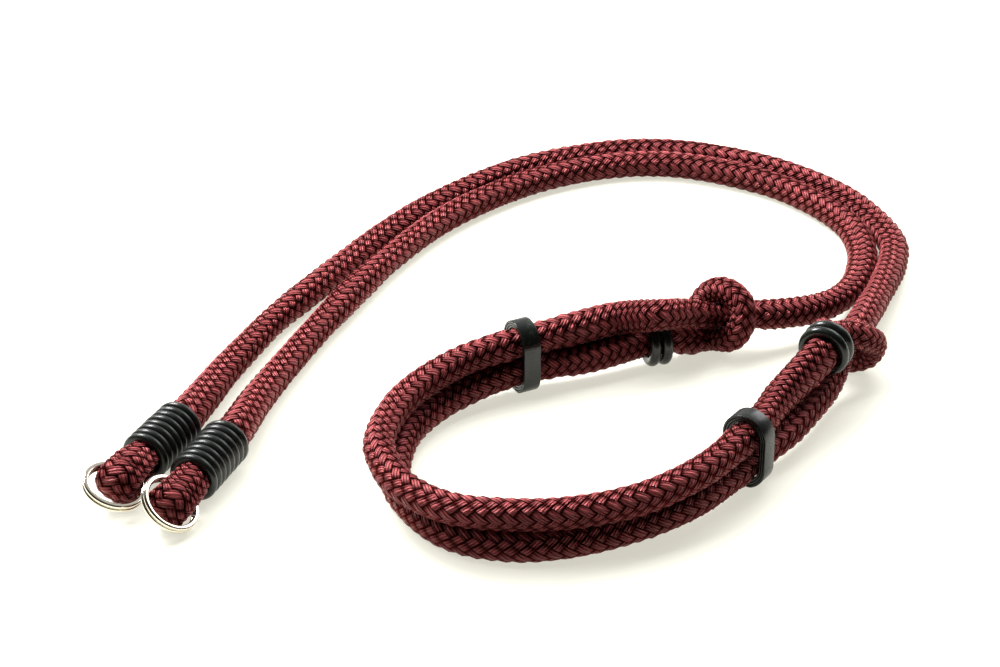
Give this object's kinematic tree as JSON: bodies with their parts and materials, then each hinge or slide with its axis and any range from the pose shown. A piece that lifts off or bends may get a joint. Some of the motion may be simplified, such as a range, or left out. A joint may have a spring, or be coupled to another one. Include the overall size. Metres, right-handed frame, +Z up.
{
  "type": "camera wrist strap",
  "caption": "Adjustable braided-rope camera wrist strap: ropes with split-ring ends hitched round each other to close a loop, held by rubber bands and stop rings.",
  "frame": {"origin": "middle of the strap's own box, on the surface that it lies on", "axes": "+Z up off the surface; -Y towards the side with the split rings and the wrist loop; +X towards the hitches"},
  "size_m": [0.2769, 0.2785, 0.032],
  "materials": {
    "rope": "satin",
    "rubber": "satin",
    "nickel": "polished"
  },
  "bodies": {
    "root": {"rope_outer": "rope", "rope_inner": "rope", "whipping_outer_1": "rubber", "whipping_outer_2": "rubber", "whipping_outer_3": "rubber", "whipping_outer_4": "rubber", "whipping_outer_5": "rubber", "whipping_outer_6": "rubber", "whipping_outer_7": "rubber", "whipping_outer_8": "rubber", "whipping_inner_1": "rubber", "whipping_inner_2": "rubber", "whipping_inner_3": "rubber", "whipping_inner_4": "rubber", "whipping_inner_5": "rubber", "whipping_inner_6": "rubber", "whipping_inner_7": "rubber", "whipping_inner_8": "rubber", "stop_ring_low_1": "rubber", "stop_ring_low_2": "rubber", "stop_ring_high_1": "rubber", "stop_ring_high_2": "rubber", "band_left": "rubber", "band_right": "rubber", "split_ring_outer": "nickel", "split_ring_inner": "nickel"}
  },
  "joints": []
}
